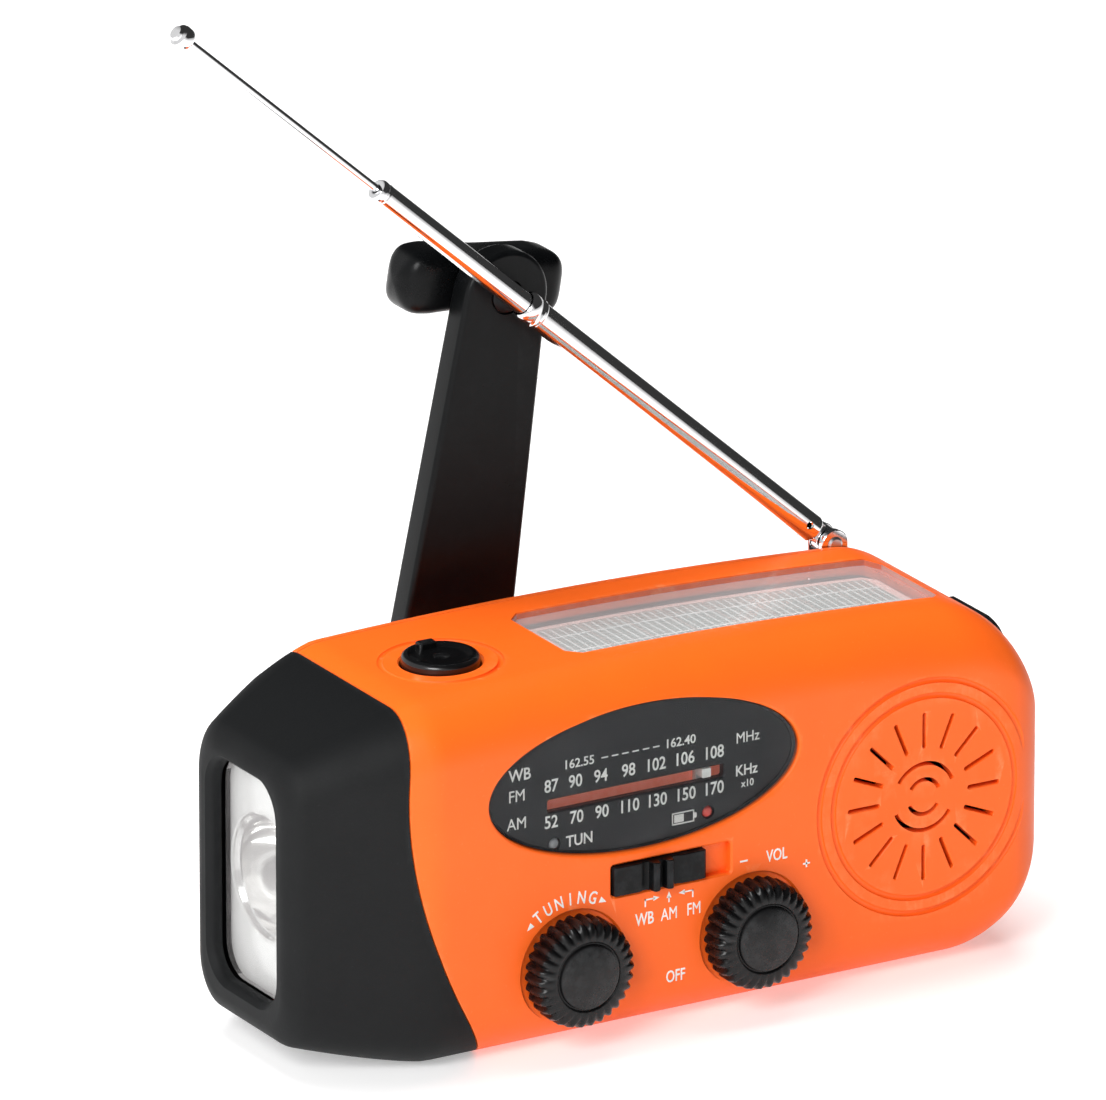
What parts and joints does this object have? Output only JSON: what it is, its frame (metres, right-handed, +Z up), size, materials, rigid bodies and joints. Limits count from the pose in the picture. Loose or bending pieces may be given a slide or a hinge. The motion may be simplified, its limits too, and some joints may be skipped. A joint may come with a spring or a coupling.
{
  "type": "emergency radio",
  "caption": "Compact hand-crank emergency radio with torch head, solar window, oval tuning dial, round speaker grille, folding crank and telescopic antenna.",
  "frame": {"origin": "on the flat bottom, midway in depth and 64 mm from the torch end, on the surface that the radio stands on", "axes": "+X from the torch head to the speaker end, -Y the front with dial and knobs, +Z up"},
  "size_m": [0.1279, 0.065, 0.1528],
  "materials": {
    "orange_shell": "satin moulded shell",
    "black_rubber": "soft-touch, fine grain",
    "black_plastic": "moulded, satin",
    "chrome_plate": "polished plating",
    "steel": "plain stampings and screws",
    "clear_plastic": "polished clear moulding",
    "silver_reflector": "bright metallised cup",
    "solar_cell": "pale grey cells with fine lines",
    "salmon_strip": "printed strip",
    "white_plastic": "plain moulding",
    "dial_black": "printed scale plate",
    "board_green": "circuit board",
    "nylon": "moulded gears",
    "copper_wire": "enamelled winding",
    "ferrite": "dull dark core",
    "speaker_paper": "pressed paper cone",
    "battery_wrap": "shrink-wrapped cell",
    "red_lens": "small light"
  },
  "bodies": {
    "casing": {"front_shell": "orange_shell", "rear_shell": "orange_shell", "torch_head": "black_rubber", "torch_reflector": "silver_reflector", "torch_lens": "clear_plastic", "led_board": "board_green", "torch_led_1": "clear_plastic", "torch_led_2": "clear_plastic", "torch_led_3": "clear_plastic", "solar_window": "clear_plastic", "solar_panel": "solar_cell", "torch_switch": "black_plastic", "dial_window": "clear_plastic", "dial_plate": "dial_black", "scale_strip": "salmon_strip", "tune_light": "white_plastic", "charge_light": "red_lens", "tuning_capacitor": "nylon", "volume_control": "steel", "band_switch": "steel", "speaker_frame": "steel", "speaker_cone": "speaker_paper", "speaker_magnet": "steel", "main_board": "board_green", "battery_cell_1": "battery_wrap", "battery_cell_2": "battery_wrap", "ferrite_rod": "ferrite", "ferrite_coil": "copper_wire", "usb_outlet": "steel", "charging_socket": "steel", "dynamo_stator": "copper_wire", "gearbox_plate": "steel", "antenna_bracket": "chrome_plate", "antenna_hinge_pin": "steel", "case_screw_1": "steel", "case_screw_2": "steel", "case_screw_3": "steel", "case_screw_4": "steel"},
    "torch_button": {"torch_button": "black_plastic"},
    "tuning": {"tuning_knob": "black_plastic", "tuning_shaft": "steel"},
    "pointer": {"dial_pointer": "white_plastic"},
    "volume": {"volume_knob": "black_plastic", "volume_shaft": "steel"},
    "band": {"band_slider": "black_plastic"},
    "cover": {"port_cover": "black_rubber"},
    "crank": {"crank_hub": "black_plastic", "main_gear": "nylon", "arm_hinge_pin": "steel"},
    "arm": {"crank_arm": "black_plastic", "grip_pin": "steel"},
    "grip": {"crank_grip": "black_rubber"},
    "gear": {"middle_gear": "nylon"},
    "rotor": {"dynamo_rotor": "steel"},
    "antenna_outer": {"antenna_outer_tube": "chrome_plate"},
    "antenna_inner": {"antenna_inner_tube": "chrome_plate"},
    "antenna_rod": {"antenna_rod": "chrome_plate", "antenna_tip": "chrome_plate"}
  },
  "joints": [
    {"name": "torch_button_press", "type": "slide", "parent": "casing", "child": "torch_button", "axis": [0, 0, -1], "range_m": [0, 0.001], "stiffness_N_per_m": 300, "springref_m": -0.001},
    {"name": "tuning_turn", "type": "hinge", "parent": "casing", "child": "tuning", "pos_m": [-0.0209, -0.0247, 0.0128], "axis": [0, 1, 0], "range_deg": [-281.7, 18.3]},
    {"name": "pointer_slide", "type": "slide", "parent": "casing", "child": "pointer", "axis": [1, 0, 0], "range_m": [-0.0263, 0.0018]},
    {"name": "volume_turn", "type": "hinge", "parent": "casing", "child": "volume", "pos_m": [0.0096, -0.0247, 0.0128], "axis": [0, 1, 0], "range_deg": [0, 300]},
    {"name": "band_slide", "type": "slide", "parent": "casing", "child": "band", "axis": [1, 0, 0], "range_m": [0, 0.0042]},
    {"name": "port_cover_open", "type": "hinge", "parent": "casing", "child": "cover", "pos_m": [0.0625, -0.0025, 0.02], "axis": [0, 1, 0], "range_deg": [0, 100]},
    {"name": "crank_spin", "type": "hinge", "parent": "casing", "child": "crank", "pos_m": [-0.017, 0.02, 0.029], "axis": [0, 1, 0], "continuous": true},
    {"name": "crank_fold", "type": "hinge", "parent": "crank", "child": "arm", "pos_m": [-0.01617, 0.0256, 0.03393], "axis": [-0.9863, 0, 0.165], "range_deg": [0, 180]},
    {"name": "grip_spin", "type": "hinge", "parent": "arm", "child": "grip", "pos_m": [-0.00512, 0.033, 0.10001], "axis": [0, 1, 0], "continuous": true},
    {"name": "middle_gear_spin", "type": "hinge", "parent": "casing", "child": "gear", "pos_m": [0.003, 0.01, 0.029], "axis": [0, 1, 0], "continuous": true},
    {"name": "rotor_spin", "type": "hinge", "parent": "casing", "child": "rotor", "pos_m": [0.02, 0, 0.029], "axis": [0, 1, 0], "continuous": true},
    {"name": "antenna_lift", "type": "hinge", "parent": "casing", "child": "antenna_outer", "pos_m": [0.047, 0.0182, 0.0542], "axis": [0, 1, 0], "range_deg": [-41.5, 78.5]},
    {"name": "antenna_draw_inner", "type": "slide", "parent": "antenna_outer", "child": "antenna_inner", "axis": [-0.749, 0, 0.6626], "range_m": [-0.0322, 0.0242]},
    {"name": "antenna_draw_rod", "type": "slide", "parent": "antenna_inner", "child": "antenna_rod", "axis": [-0.749, 0, 0.6626], "range_m": [-0.04, 0.015]}
  ],
  "couplings": [
    {"joint": "pointer_slide", "follows": "tuning_turn", "m_per_rad": 0.00533},
    {"joint": "middle_gear_spin", "follows": "crank_spin", "ratio": -3},
    {"joint": "rotor_spin", "follows": "crank_spin", "ratio": 7.2}
  ]
}
